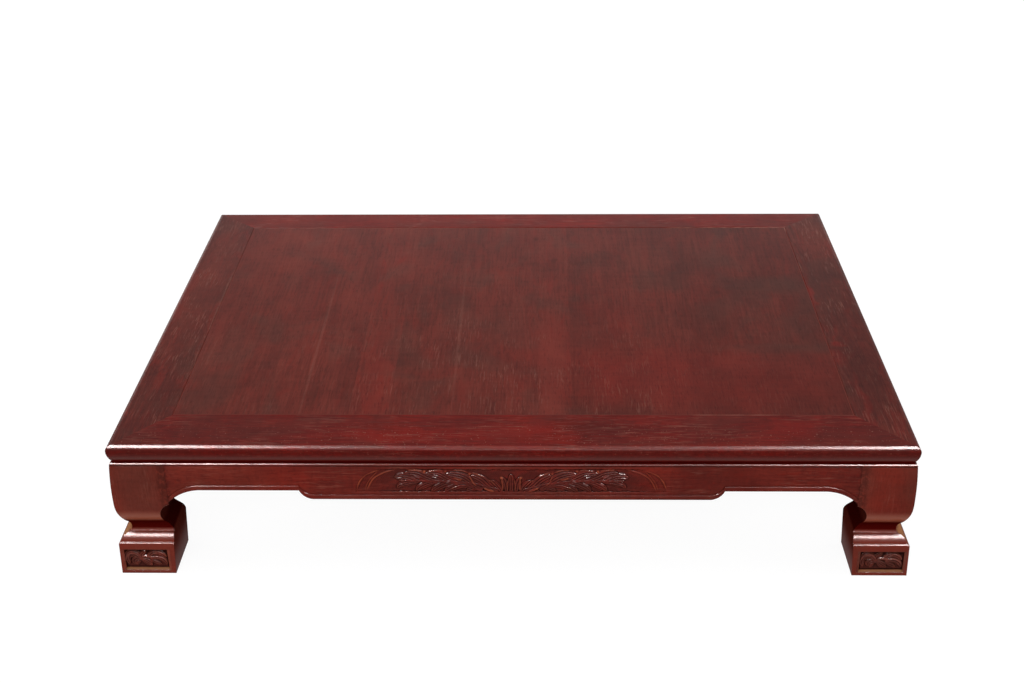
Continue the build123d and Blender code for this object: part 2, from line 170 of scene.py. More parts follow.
# where the finish changes, in metres above the floor, from none to full
finishHeights = {
    "ledge": (0.1989, 0.1996),          # painted shade under the overhanging rim
    "arris": (0.1962, 0.1968),          # the bright upper arris of aprons and legs
    "cutMiddle": 0.19595, "cutHalf": 0.0007,     # the line scratched below that arris
    "lowerBead": (0.11, 0.09),
    "carvingFoot": (0.1515, 0.1545),    # the lower border of the aprons' carving
    "bulge": (0.125, 0.1),
    "kneeFoot": (0.086, 0.094),
    "ankleTop": (0.097, 0.088), "ankleFoot": (0.069, 0.074),
    "innerDark": (0.02, 0.1), "innerShine": (0.055, 0.0),
    "ankleLightTop": (0.09, 0.08), "ankleLightFoot": (0.0555, 0.058),
    "cushionTop": (0.076, 0.07), "cushionFoot": (0.052, 0.056),
}
panelHalf = 518          # mm from the middle to the panel's left and right edges
rimStarts = (0.586, 0.588), (0.411, 0.413)       # metres from the middle, across X and Y


def newMaterial(name):
    material = bpy.data.materials.new(name)
    material.use_nodes = True
    material.node_tree.nodes.clear()
    return material, material.node_tree


def stained(tree, color, tone, amount):
    # a colour under a layer of another tone, which is a hex code or a node's output
    tone = linearColor(tone) if isinstance(tone, str) else tone
    return addNode(tree, "Mix", {"data_type": "RGBA"}, {0: amount, 6: color, 7: tone}, 2)


def scaled(tree, value, amount, gain, base):
    # a shine or brightness times (amount * gain + base)
    return addNode(tree, "Math", times, (value, addNode(tree, "Math", timesPlus, (amount, gain, base))))


def boardSteps(tree, placeX):
    # each board's tone and redness, and a shift that gives it a figure of its own
    share = addNode(tree, "MapRange", {}, (placeX, -panelHalf / 1000, panelHalf / 1000))
    steps = addNode(tree, "ValToRGB", {}, [share])
    ramp = steps.node.color_ramp
    ramp.interpolation = "CONSTANT"
    ramp.elements.remove(ramp.elements[1])
    for index, (left, tone, red, offset) in enumerate(boardTones):
        start = (left + panelHalf) / (2 * panelHalf)
        stop = ramp.elements[0] if index == 0 else ramp.elements.new(start)
        stop.position = start
        stop.color = (tone, red, offset, 1)
    tone, red, offset = addNode(tree, "SeparateColor", {}, [steps]).node.outputs
    far = addNode(tree, "Math", times, (offset, 40.0))
    return tone, red, addNode(tree, "CombineXYZ", {}, (far, far, far))


def markedColor(tree, color, marks, place, values):
    # stains, streaks and worn places: soft ovals, the wide ones with a wavering outline
    add = partial(addNode, tree)
    warp = add("TexNoise", {}, {"Vector": place, "Scale": 22.0, "Detail": 3.0}, "Color")
    swayed = add("VectorMath", timesPlus, (warp, (0.03, 0.03, 0.0), (-0.015, -0.015, 0.0)))
    swayed = add("VectorMath", plus, (swayed, place))
    markColors = dict(values, pale=woodValues["pale"])
    for kind, markX, markY, halfX, halfY, strength in marks:
        source = place if min(halfX, halfY) < 5 else swayed
        centre = (-markX / halfX, -markY / halfY, 0)
        away = add("VectorMath", timesPlus, (source, (1000 / halfX, 1000 / halfY, 0), centre))
        away = add("VectorMath", {"operation": "LENGTH"}, [away], "Value")
        inside = add("MapRange", smooth, (away, 1.25, 0.35, 0.0, strength))
        color = stained(tree, color, markColors[kind], inside)
    return color


def legFinish(tree, color, shine, values, upward, placeZ, polished):
    # the knee's lower bulge mirrors the floor, with a painted reflection; lighter low on the knee; the ankle
    # is dull, in painted shade; the inner faces were never polished and carry painted shade
    add, stain = partial(addNode, tree), partial(stained, tree)
    facesDown = add("MapRange", smooth, (upward, -0.12, -0.4))
    knee = add("Math", times, (facesDown, add("MapRange", smooth, (placeZ, *finishHeights["kneeFoot"]))))
    bulge = add("MapRange", smooth, (placeZ, *finishHeights["bulge"], 0.0, 0.6))
    color = stain(color, values["light"], bulge)
    # painted reflection of the floor on the knee's lower bulge
    color = stain(color, woodValues["rubbedAndSheen"], add("Math", times, (knee, 0.6)))
    shine = add("Math", timesPlus, (knee, 0.5, shine))
    # painted shade in the ankle, under the knee's bulge
    ankleShade = add("Math", times, (add("MapRange", smooth, (placeZ, *finishHeights["ankleTop"])),
                                add("MapRange", smooth, (placeZ, *finishHeights["ankleFoot"]))))
    color = stain(color, woodValues["ankleShade"], add("Math", times, (ankleShade, 0.95)))
    shine = scaled(tree, shine, ankleShade, -0.9, 1.0)
    unpolished = add("Math", minus, (1.0, polished))
    shine = scaled(tree, shine, unpolished, -0.95, 1.0)
    lowShine = add("MapRange", smooth, (placeZ, *finishHeights["innerShine"], 0.0, 0.2))
    shine = add("Math", timesPlus, (unpolished, lowShine, shine))
    # painted shade on the unpolished inner faces, darker towards the top
    innerShade = add("MapRange", smooth, (placeZ, *finishHeights["innerDark"], 0.0, 0.72))
    color = stain(color, woodValues["inner"], add("Math", times, (unpolished, innerShade)))
    return color, shine


def underRim(tree, color, shine, placeZ):
    # painted shade on the ledge under the rim, and in the line cut below the arris
    add, stain = partial(addNode, tree), partial(stained, tree)
    ledgeShade = add("MapRange", smooth, (placeZ, *finishHeights["ledge"]))
    color = stain(color, woodValues["ledge"], ledgeShade)
    shine = scaled(tree, shine, ledgeShade, -0.95, 1.0)
    # painted shade in the line cut below the arris
    cut = (placeZ, finishHeights["cutMiddle"], finishHeights["cutHalf"])
    cutLine = add("Math", {"operation": "COMPARE"}, cut)
    color = stain(color, woodValues["hollow"], add("Math", times, (cutLine, 0.85)))
    shine = scaled(tree, shine, cutLine, -0.9, 1.0)
    return color, shine


def paintedAnkleLight(tree, color, shine, spread, normals, inward, placeY, placeZ):
    # painted light and reflection on the end side of each ankle and cushion, beside its front or back arris
    add = partial(addNode, tree)
    outer = add("Math", minus, (add("Math", absolute, [normals[0]]), add("Math", absolute, [normals[1]])))
    outer = add("Math", times, (add("MapRange", smooth, (outer, 0.0, 0.15)),
                                add("MapRange", smooth, (inward, 0.02, 0.1))))
    inHollow = add("Math", times, (add("MapRange", smooth, (placeZ, *finishHeights["ankleLightFoot"])),
                                   add("MapRange", smooth, (placeZ, *finishHeights["ankleLightTop"]))))
    paintedLight = add("Math", times, (add("Math", times, (outer, inHollow)), spread))
    nearArris = add("Math", timesPlus, (spread, 0.012, add("Math", absolute, [placeY])))
    paintedLight = add("Math", times, (paintedLight, add("MapRange", smooth, (nearArris, 0.376, 0.4))))
    color = stained(tree, color, woodValues["paintedLight"], add("Math", times, (paintedLight, 0.8)))
    return color, scaled(tree, shine, paintedLight, -0.7, 1.0)


def carvedFinish(tree, color, shine, values, dull):
    # painted shade in the cuts, duller on the sunk ground, worn orange on thin ridges, painted light with
    # dust on the feet's sills, bright where a gouge slipped
    add, stain = partial(addNode, tree), partial(stained, tree)
    hollow, crest, bared, rub, sunk, glint = (
        add("Attribute", {"attribute_name": name}, out="Fac")
        for name in ("hollow", "crest", "bared", "rub", "sunk", "glint"))
    redder = add("MapRange", smooth, (dull, 0.55, 0.36, 0.0, 0.28))
    color = stain(color, values["red"], add("Math", heldTimes, (sunk, redder)))
    duller = add("MapRange", smooth, (dull, 0.3, 0.62, 0.0, 0.62))
    color = stain(color, woodValues["sunken"], add("Math", heldTimes, (sunk, duller)))
    color = stain(color, woodValues["hollow"], add("Math", heldTimes, (hollow, 0.95)))
    color = stain(color, woodValues["rubbedAndSheen"], add("Math", heldTimes, (crest, 0.15)))
    rubbing = add("Math", heldTimes, (rub, add("MapRange", smooth, (dull, 0.35, 0.6, 0.0, 0.5))))
    color = stain(color, woodValues["worn"], add("Math", heldTimesPlus, (rub, 0.15, rubbing)))
    color = stain(color, woodValues["paintedLight"], add("Math", heldTimes, (bared, 0.5)))
    shine = add("Math", timesPlus, (sunk, woodValues["carvedShine"], shine))
    shine = add("Math", times, (shine, add("Math", heldTimesPlus, (hollow, -0.85, 1.0))))
    return color, add("Math", heldTimesPlus, (glint, 1.0, shine))


def rosewood(name, tones, grain, figure=1.0, contrast=1.0, boards=False, carved=False, edges=True,
             parts=(), marks=(), endTones=None):
    # Rosewood under clear lacquer: dark red-brown with long darker lines, short open pores that hold
    # dry wax and painted glints, greyer clouds of old polish, and a satin shine strongest on rubbed edges.
    material, tree = newMaterial(name)
    add, stain = partial(addNode, tree), partial(stained, tree)
    values = woodValues[tones]
    framed = tones in ("rail", "stile")
    based = tones in ("base", "leg")
    place = add("TexCoord", out="Object")
    placeX, placeY, placeZ = add("SeparateXYZ", {}, [place]).node.outputs
    awayX, awayY = add("Math", absolute, [placeX]), add("Math", absolute, [placeY])     # from the middle
    shift = None
    if boards:
        boardTone, boardRed, shift = boardSteps(tree, placeX)

    def noise(acrossMm, alongMm, detail, distortion, roughness=0.5, whole=False):
        # one cell of the noise is acrossMm wide and alongMm long, along the grain
        scale = [1000 / acrossMm] * 3
        scale["XYZ".index(grain)] = 1000 / alongMm
        vector = add("VectorMath", times, (place, tuple(scale)))
        if shift is not None and not whole:
            vector = add("VectorMath", plus, (vector, shift))
        return add("TexNoise", {}, {"Vector": vector, "Scale": 1.0, "Detail": detail,
                                    "Distortion": distortion, "Roughness": roughness})

    bands = noise(30, 300, 2, 0.8 * figure)        # growth bands
    lines = noise(4.6, 110, 3, figure, 0.6)        # growth lines
    cloud = noise(70, 110, 4, 0.6, whole=True)     # patches of older lacquer
    polish = noise(110, 150, 3, 0.8, whole=True)   # greyer clouds of wax
    pores = noise(2.0, 15, 1, 0.3)                 # open pores, as dashes
    poreGlints = noise(2.2, 30, 2, 0.8)                # pale dashes in the pores: painted glints, and pale wax
    patches = noise(60, 80, 2, 0.6, whole=True)    # where those pores show
    crossing = noise(46, 9, 2, 0.6, whole=True)    # faint ripple across the grain
    flow = noise(22, 110, 3, 2.0 * figure)         # wandering red figure

    line = add("MapRange", smooth, (lines, 0.36, 0.68))
    band = add("MapRange", smooth, (bands, 0.35, 0.65))
    color = linearColor(values["mid"])
    if endTones:
        # the rails turn to the stiles' tone towards their mitres
        color = stain(color, woodValues[endTones]["mid"], add("MapRange", smooth, (awayX, 0.49, 0.58)))
    color = stain(color, values["dark"], add("Math", times, (line, (0.4 if boards else 0.5) * contrast)))
    lightBand = add("Math", times, (band, 0.6 * contrast))
    lightBand = add("Math", times, (add("Math", minus, (1.0, line)), lightBand))
    color = stain(color, values["light"], lightBand)
    redness = add("Math", times, (add("MapRange", smooth, (flow, 0.46, 0.74)), 0.38 * contrast))
    if boards:
        redness = add("Math", times, (redness, add("Math", plus, (boardRed, 0.35))))
    if figure > 1:
        # flame figure: thin lines that follow the contours of a slow noise
        rings = add("Math", {"operation": "SINE"}, [add("Math", times, (noise(42, 330, 1, 0.3), 95.0))])
        rings = add("MapRange", smooth, (rings, 0.35, 1.0))
        color = stain(color, values["dark"], add("Math", times, (rings, 0.3 * contrast)))
    color = stain(color, values["red"], redness)
    greyness = add("Math", times, (add("MapRange", smooth, (polish, 0.44, 0.66)), 0.5))
    color = stain(color, values["grey"], greyness)
    color = markedColor(tree, color, marks, place, values)

    if not boards:
        # mottled lacquer, the same size along and across the grain
        mottle = add("TexNoise", {}, {"Vector": place, "Scale": 150.0, "Detail": 4.0, "Roughness": 0.6,
                                      "Distortion": 0.6})
        if not framed:
            darker = add("Math", times, (add("MapRange", smooth, (mottle, 0.46, 0.72)), 0.5 * contrast))
            color = stain(color, values["dark"], darker)
            redder = add("Math", times, (add("MapRange", smooth, (mottle, 0.48, 0.3)), 0.25 * contrast))
            color = stain(color, values["red"], redder)

    pale = add("Math", times, (add("MapRange", smooth, (poreGlints, 0.5, 0.74)),
                               add("MapRange", smooth, (patches, 0.38, 0.66))))
    if boards:
        # the painted glints thin out towards the back and the ends
        forward = add("Math", plus, (add("MapRange", smooth, (placeY, 0.12, -0.22, 0.0, 0.7)), 0.25))
        central = add("Math", plus, (add("MapRange", smooth, (awayX, 0.32, 0.1, 0.0, 0.55)), 0.45))
        pale = add("Math", times, (add("Math", times, (pale, forward)), central))
    color = stain(color, woodValues["pale"], add("Math", times, (pale, 0.34 * contrast)))

    # brightness: clouds of old lacquer, each board's own tone, painted light towards the back, open pores
    # and the faint ripple
    shade = add("Math", timesPlus, (add("MapRange", smooth, (cloud, 0.28, 0.72)), 0.28, 0.86))
    if boards:
        shade = scaled(tree, shade, boardTone, 1.1, 0.45)
        # painted light: the boards brighter towards the back
        paintedBackLight = add("MapRange", smooth, (placeY, 0.0, 0.34, 0.0, 0.07))
        shade = add("Math", times, (shade, add("Math", plus, (paintedBackLight, 1.0))))
    if tones == "rail":
        # painted light: the rails brighter towards the back
        paintedBackLight = add("MapRange", smooth, (placeY, 0.2, 0.36, 0.0, 0.25))
        shade = add("Math", times, (shade, add("Math", plus, (paintedBackLight, 1.0))))
        # specks of dust caught in the lacquer along the front edge
        specks = add("TexNoise", {}, {"Vector": place, "Scale": 420.0, "Detail": 0.0})
        specks = add("Math", times, (add("MapRange", smooth, (specks, 0.772, 0.795)),
                                     add("MapRange", smooth, (placeY, -0.35, -0.38, 0.0, 0.4))))
        color = stain(color, woodValues["pale"], specks)
    pore = add("MapRange", smooth, (pores, 0.54, 0.74))
    shade = scaled(tree, shade, pore, -0.26 * contrast, 1.03)
    shade = scaled(tree, shade, crossing, 0.3, 0.85)

    # joint lines, dark with old glue and wax: a plane across X or Y, its width in mm and its depth
    for axis, where, width, depth in parts:
        off = add("Math", minus, (awayX if axis == "X" else awayY, where / 1000))
        seam = add("MapRange", smooth, (add("Math", absolute, [off]), width / 2000, width / 6000))
        if width > 3:
            seam = add("Math", times, (seam, add("MapRange", smooth, (mottle, 0.34, 0.56))))
        shade = scaled(tree, shade, seam, -depth, 1.0)
    color = add("VectorMath", {"operation": "SCALE"}, {0: color, "Scale": shade})

    # edges: the rounded normal marks where cloths reach, and softens the mesh's facets
    if framed:
        # only near the rim, so that the mitres stay closed
        rim = add("Math", larger, (add("MapRange", smooth, (awayX, *rimStarts[0])),
                                   add("MapRange", smooth, (awayY, *rimStarts[1]))))
        radius = add("Math", times, (rim, woodValues["edgeRound"]))
        rounded = add("Bevel", {"samples": 6}, {"Radius": radius})
    elif edges:
        rounded = add("Bevel", {"samples": 6}, {"Radius": woodValues["edgeRound"]})
    else:
        rounded = add("NewGeometry", out="Normal")
    normalX, normalY, upward = add("SeparateXYZ", {}, [rounded]).node.outputs
    sloped = add("Math", minus, (1.0, add("MapRange", smooth, (upward, 0.93, 0.99))))
    worn = add("Math", times, (add("MapRange", smooth, (upward, 0.25, 0.6)), sloped))
    if framed:
        worn = add("Math", times, (worn, rim))
        # the rim's face holds more dark lacquer than the top
        side = add("MapRange", smooth, (upward, 0.6, 0.3))
        color = stain(color, woodValues["ledge"], add("Math", times, (side, 0.35)))
        sideMottle = add("MapRange", smooth, (mottle, 0.4, 0.66, 0.0, 0.75))
        color = stain(color, values["dark"], add("Math", times, (side, sideMottle)))
        # painted shade: darker and greyer on the rim's downward belly, near black on its underside
        color = stain(color, values["grey"], add("MapRange", smooth, (upward, -0.1, -0.4, 0.0, 0.6)))
        color = stain(color, woodValues["hollow"], add("MapRange", smooth, (upward, -0.75, -0.92)))
    if not boards:
        patchy = add("Math", times, (worn, add("MapRange", smooth, (noise(16, 34, 2, 0.3), 0.42, 0.7))))
        color = stain(color, woodValues["rubbedAndSheen"], add("Math", times, (patchy, 0.08)))

    # shine: the flats' even coat, and more of it where an edge is rubbed
    edgeShine = woodValues["edgeShine"]
    if based:
        # bright upper arris, rubbed most towards the corners, and a dull bead along the lower edge
        handled = add("Math", plus, (add("MapRange", smooth, (awayX, 0.1, 0.4, 0.0, 0.65)), 0.68))
        arris = add("MapRange", smooth, (placeZ, *finishHeights["arris"], 0.0, woodValues["arrisShine"]))
        bead = add("MapRange", smooth, (placeZ, *finishHeights["lowerBead"], 0.0, woodValues["edgeShine"]))
        edgeShine = add("Math", plus, (add("Math", times, (handled, arris)), bead))
        edgeShine = add("Math", plus, (edgeShine, 0.02))
    broken = add("MapRange", smooth, (noise(3, 17, 2, 0.4), 0.3, 0.58))
    edgeShine = scaled(tree, edgeShine, broken, 0.6, 0.45)
    shine = add("Math", plus, (add("Math", times, (worn, edgeShine)), woodValues["shine"]))
    if framed:
        below = add("MapRange", smooth, (upward, -0.08, -0.4))
        shine = add("Math", timesPlus, (below, woodValues["underShine"], shine))
    # faces that look inwards under the table were never polished
    inward = add("Math", plus, (add("Math", times, (normalX, placeX)),
                                add("Math", times, (normalY, placeY))))
    polished = add("MapRange", smooth, (inward, -0.12, 0.02))
    if tones == "leg":
        color, shine = legFinish(tree, color, shine, values, upward, placeZ, polished)
    else:
        shine = scaled(tree, shine, polished, 0.8, 0.2)
    if based:
        color, shine = underRim(tree, color, shine, placeZ)
    if tones == "leg":
        spread = add("MapRange", smooth, (noise(12, 16, 3, 0.4), 0.28, 0.5))
        color, shine = paintedAnkleLight(tree, color, shine, spread, (normalX, normalY), inward, placeY, placeZ)
    if carved:
        color, shine = carvedFinish(tree, color, shine, values, noise(13, 24, 2, 0.5))
    if carved and tones == "base":
        # dust along the lower border of the ground
        clean = add("MapRange", smooth, (placeZ, *finishHeights["carvingFoot"], 0.0, 0.6))
        shine = add("Math", times, (shine, add("Math", plus, (clean, 0.4))))

    # surface: open pores, and the slow ripple of hand-rubbed lacquer
    roughness = add("Math", timesPlus, (cloud, 0.2, woodValues["roughness"] - 0.1))
    roughness = add("Math", timesPlus, (pore, 0.12, roughness))
    height = add("Math", timesPlus, (pore, -0.16, noise(9, 60, 1, 0.0)))
    height = add("Math", timesPlus, (lines, 0.2, height))
    peel = add("TexNoise", {}, {"Vector": place, "Scale": 380.0, "Detail": 2.0, "Roughness": 0.5})
    coarse = 0.34
    if tones == "leg":
        # the cushions of the feet keep a coarser brushed lacquer
        coarse = add("MapRange", smooth, (placeZ, *finishHeights["cushionTop"], 0.0, 1.3))
        above = add("MapRange", smooth, (placeZ, *finishHeights["cushionFoot"]))
        coarse = add("Math", plus, (add("Math", times, (coarse, above)), 0.34))
    height = add("Math", timesPlus, (peel, coarse, height))
    bump = add("Bump", {}, {"Strength": 0.4, "Distance": 0.0004, "Height": height, "Normal": rounded})
    shader = add("BsdfPrincipled", {}, {
        "IOR": 1.5, "Specular IOR Level": 0.0, "Coat IOR": 1.5,
        "Coat Roughness": woodValues["coatRoughness"][tones], "Coat Weight": shine, "Coat Normal": bump,
        "Base Color": color, "Roughness": roughness, "Normal": bump})
    addNode(tree, "OutputMaterial", {}, {"Surface": shader})
    return material


seamX, seamY = 517, 342          # mm from the middle, where the legs meet the aprons
legSeams = (("X", seamX, 1.4, 0.2), ("X", seamX + 4, 24, 0.36),
            ("Y", seamY, 1.4, 0.2), ("Y", seamY + 4, 24, 0.36))
panelWood = rosewood("lacquered rosewood boards", "panel", "Y", boards=True, edges=False, marks=panelMarks)
railWood = rosewood("lacquered rosewood rails", "rail", "X", figure=1.5, marks=railMarks, endTones="stile")
stileWood = rosewood("lacquered rosewood stiles", "stile", "Y", figure=1.2, marks=stileMarks)
longApronWood = rosewood("lacquered rosewood aprons", "base", "X", contrast=0.8, parts=legSeams,
                         marks=apronMarks)
endApronWood = rosewood("lacquered rosewood end aprons", "base", "Y", contrast=0.8, parts=legSeams)
legWood = rosewood("lacquered rosewood legs", "leg", "Z", contrast=0.6, parts=legSeams, marks=legMarks)
carving = {"contrast": 0.8, "carved": True, "edges": False}
longCarvedWood = rosewood("carved rosewood, long aprons", "base", "X", **carving)
endCarvedWood = rosewood("carved rosewood, end aprons", "base", "Y", **carving)
footCarvedWood = rosewood("carved rosewood, feet", "foot", "Z", **carving)
battenWood = rosewood("planed hardwood battens", "batten", "X")


def dress(nodeName, material):
    for slot in nodes[nodeName].material_slots:
        slot.material = material


for nodeName in nodes:
    if nodeName.startswith("panel_board"):
        dress(nodeName, panelWood)
    elif nodeName.endswith("_rail"):
        dress(nodeName, railWood)
    elif nodeName.endswith("_stile"):
        dress(nodeName, stileWood)
    elif nodeName.startswith("leg_"):
        dress(nodeName, legWood)
    elif nodeName in ("apron_front", "apron_back"):
        dress(nodeName, longApronWood)
    elif nodeName.startswith("apron_"):
        dress(nodeName, endApronWood)
    elif nodeName.startswith("batten_"):
        dress(nodeName, battenWood)
print("wood dressed")


# Carving

def smoothLine(points, steps=6):
    # a smooth line through the points
    if len(points) < 3:
        return points
    padded = [points[0]] + list(points) + [points[-1]]
    line = []
    for i in range(1, len(padded) - 2):
        p0, p1, p2, p3 = (np.array(padded[i + k], dtype=float) for k in (-1, 0, 1, 2))
        for step in range(steps):
            t = step / steps
            line.append(0.5 * (2 * p1 + (p2 - p0) * t + (2 * p0 - 5 * p1 + 4 * p2 - p3) * t ** 2
                               + (3 * p1 - p0 - 3 * p2 + p3) * t ** 3))
    line.append(np.array(points[-1], dtype=float))
    return line


def fromLine(points, x, z):
    # distance to the smooth line, how far along it the nearest point is, 0 to 1, and the signed
    # distance across it, positive on its left
    line = [np.array(p, dtype=float) for p in smoothLine(points)]
    lengths = [np.hypot(*(b - a)) for a, b in zip(line, line[1:])]
    total = sum(lengths)
    best = np.full(x.shape, 1e9)
    along = np.zeros(x.shape)
    across = np.zeros(x.shape)
    done = 0
    for a, b, length in zip(line, line[1:], lengths):
        if length < 1e-6:
            continue
        t = np.clip(((x - a[0]) * (b[0] - a[0]) + (z - a[1]) * (b[1] - a[1])) / length ** 2, 0, 1)
        away = np.hypot(x - a[0] - t * (b[0] - a[0]), z - a[1] - t * (b[1] - a[1]))
        side = np.sign((b[0] - a[0]) * (z - a[1]) - (b[1] - a[1]) * (x - a[0]))
        nearer = away < best
        best = np.where(nearer, away, best)
        along = np.where(nearer, (done + t * length) / total, along)
        across = np.where(nearer, side * away, across)
        done += length
    return best, along, across


def lobe(points, x, z, width, height, start=0.5, end=0.2, veins=0.0, veinDepth=0.0):
    # a leaf lobe: domed across, widest past its middle, closed at the tip, gouged along its veins
    away, along, across = fromLine(points, x, z)
    swell = start + (1 - start) * np.sin(np.clip(along / 0.55, 0, 1) * math.pi / 2)
    closing = np.clip((along - 0.55) / 0.45, 0, 1)
    close = end + (1 - end) * np.clip(np.cos(closing * math.pi / 2), 0, 1) ** 0.6
    reach = width * swell * close
    dome = np.sqrt(np.clip(1 - (away / reach) ** 2, 0, 1)) ** 0.6
    if veins:
        across = across / (0.55 + 0.45 * swell * close)
        gouge = (0.5 + 0.5 * np.cos(2 * math.pi * across / veins)) ** 2.2
        gouge = gouge * np.clip(along / 0.15, 0, 1) * np.clip((reach - away) / 1.2, 0, 1)
        return dome * (height - veinDepth * gouge)
    return height * dome


def ridge(points, x, z, width, height):
    away, along = fromLine(points, x, z)[:2]
    taper = np.clip(np.minimum(along, 1 - along) / 0.18, 0.15, 1)
    return height * taper * np.exp(-(away / (width * (0.5 + 0.5 * taper))) ** 2)


# The apron's right half in mm: x from the middle, z above the floor. The left half mirrors it.
leafScroll = {
    "lobes": [  # points, half width, height above the ground, vein spacing
        ([(0, 152), (0, 166), (0, 181)], 5.5, 1.5, 3.6),
        ([(7, 152), (8.5, 164), (12.5, 176.5)], 4.2, 1.35, 3.4),
        ([(15, 152.5), (20, 162), (29, 171.5)], 4.6, 1.25, 3.4),
        ([(24, 153), (34, 161), (45, 172), (58, 179.5)], 8.6, 1.6, 4.0),
        ([(46, 157), (58, 166), (72, 176), (95, 182.5)], 8.6, 1.6, 3.9),
        ([(82, 166), (96, 174), (110, 181), (127, 183)], 8.0, 1.6, 3.7),
        ([(112, 169), (126, 175), (140, 182), (157, 184)], 7.4, 1.6, 3.7),
        ([(142, 170.5), (156, 176.5), (173, 177)], 6.6, 1.5, 3.6),
        ([(44, 157.5), (56, 158), (66, 154)], 4.8, 1.2, 3.4),
        ([(58, 162), (74, 164.5), (90, 158.5), (98, 152.5)], 7.0, 1.5, 3.7),
        ([(84, 168.5), (98, 166.5), (111, 159.5), (118, 153)], 6.8, 1.5, 3.6),
        ([(112, 169), (124, 166.5), (135, 160.5), (142, 155)], 6.2, 1.45, 3.5),
        ([(138, 169.5), (152, 167.5), (165, 163.5), (170, 159)], 5.4, 1.4, 3.4),
        ([(18, 156), (40, 162.5), (60, 166.8), (100, 170.6), (140, 171), (168, 171)], 2.2, 1.75, 0),
    ],
    "ridges": [  # points, half width, height
        ([(38.9, 177.6), (46.1, 180.6), (53.6, 183.2), (60.2, 182.7)], 1.15, 0.7),
        ([(61.4, 181.6), (60.2, 176.4), (57.5, 168.9), (51.3, 161.5)], 1.1, 0.9),
        ([(25, 152.6), (33, 155.2), (41.6, 159.2)], 1.5, 1.35),
        ([(63.6, 184.3), (74, 187.9), (88.3, 189)], 1.1, 0.8),
        ([(72, 172.8), (80, 174.2), (86.5, 176.6)], 1.3, 0.95),
        ([(90.4, 172.6), (93.4, 170.8), (97, 168)], 1.35, 1.1),
        ([(84.7, 166.6), (90, 163.8), (95.5, 160.4)], 1.1, 0.7),
        ([(77.5, 162.4), (84, 160), (90.2, 156.6)], 1.0, 0.6),
        ([(98.6, 185.8), (108.5, 189), (125.5, 187.3)], 1.1, 0.75),
        ([(106, 167.6), (110, 165.4), (115, 162)], 1.3, 1.15),
        ([(107.8, 178.8), (112, 180.4), (117, 182.6)], 1.1, 0.9),
        ([(110.3, 175.4), (114, 177), (118.6, 179.2)], 1.0, 0.8),
        ([(129.6, 186.2), (140, 189.6), (156.3, 189.4)], 1.1, 0.75),
        ([(135.6, 176.4), (140, 178), (146, 180.6)], 1.1, 0.9),
        ([(141.5, 174.2), (145, 175.6), (149.6, 178)], 1.0, 0.75),
        ([(131.6, 166.4), (135, 165), (138.4, 163.2)], 1.3, 1.05),
        ([(159, 183.6), (165, 183), (171.4, 180.8)], 1.15, 0.9),
        ([(162, 176.8), (167, 176), (171.4, 174)], 1.0, 0.7),
        ([(160, 165), (166.5, 164.4)], 1.0, 0.6),
        ([(171.1, 189.4), (187.7, 185.5), (204.3, 175.6), (213.4, 160), (216, 152.6)], 1.25, 0.9),
        ([(196, 189.4), (206, 179), (214.6, 166), (218.6, 153)], 0.9, 0.45),
        ([(194.5, 190), (214.3, 182.3), (225, 171.4), (230, 159.5), (231.2, 152.3)], 1.35, 1.05),
        ([(12.6, 153), (13, 164), (14.2, 174.8)], 1.2, 0.9),
        ([(5.5, 154), (6.2, 164), (4.4, 173)], 0.9, 0.5),
        ([(23, 163), (28, 168.5), (34, 172)], 1.0, 0.7),
    ],
    "knobs": [  # middle, radius, height
        (14.2, 175.4, 1.7, 1.0), (61, 182.4, 1.7, 0.9), (97.8, 186.4, 1.6, 0.8), (128.6, 186.4, 1.6, 0.8)],
    # outline of the sunk ground
    "border": [(233, 151.4), (231.8, 160.4), (227.4, 170.9), (219, 180.6), (208, 187.3),
               (197, 191.2), (160, 192.0), (110, 191.7), (60, 191.2), (0, 190.8)],
}

carvingValues = {
    "ground": 1.35,          # mm below the apron's face
    "groundEdge": 1.3,       # mm over which it falls
    "veinDepth": 0.8,
    "gouge": 0.07, "hand": 0.05,    # mm of tool marks
    "waver": 0.6,            # mm that the left half strays from a true mirror of the right
    "cell": (0.66, 0.54),    # mm, along and up
    "bedFloor": 2.6,         # mm
    "longHalf": 238, "endHalf": 120,
    "low": 151.0, "high": 193.5,
    "highest": 0.75,         # mm above the apron's face
    "leafTip": 171, "arcMiddle": 208,      # the ground rises between these, in mm from the middle
    "swell": 0.62,           # share of its depth that it rises
    "shortStroke": 13,       # mm; shorter ridges are bright gouge strokes, longer ones are worn
    "section": ((1.5, 195.4), (-0.7, 162.0), (-1.1, 140.0)),     # the face's inset and height, in mm
}
halfLength, halfDepth = 600, 425      # mm from the middle to the rim's outer line, where insets start

# how the hollows that get painted shade, and the crests, are read from the relief, in mm of height against
# the cells around
shadingValues = {
    "turns": 12,             # of softening, so how far around a cell counts
    "hollowFrom": 0.02, "hollowOver": 0.24, "hollowMost": 0.95,
    "deep": 0.16,            # painted shade added at full depth
    "crestFrom": 0.08, "crestOver": 0.4,
}


def insideBy(outline, x, z):
    # distance inside a closed outline, negative outside
    best = np.full(x.shape, 1e9)
    crossings = np.zeros(x.shape, dtype=int)
    for (ax, az), (bx, bz) in zip(outline, outline[1:] + outline[:1]):
        length = math.hypot(bx - ax, bz - az)
        if length < 1e-9:
            continue
        t = np.clip(((x - ax) * (bx - ax) + (z - az) * (bz - az)) / length ** 2, 0, 1)
        best = np.minimum(best, np.hypot(x - ax - t * (bx - ax), z - az - t * (bz - az)))
        if az != bz:
            hit = ((z < az) != (z < bz)) & (x < ax + (z - az) * (bx - ax) / (bz - az))
            crossings += hit
    return np.where(crossings % 2 == 1, best, -best)


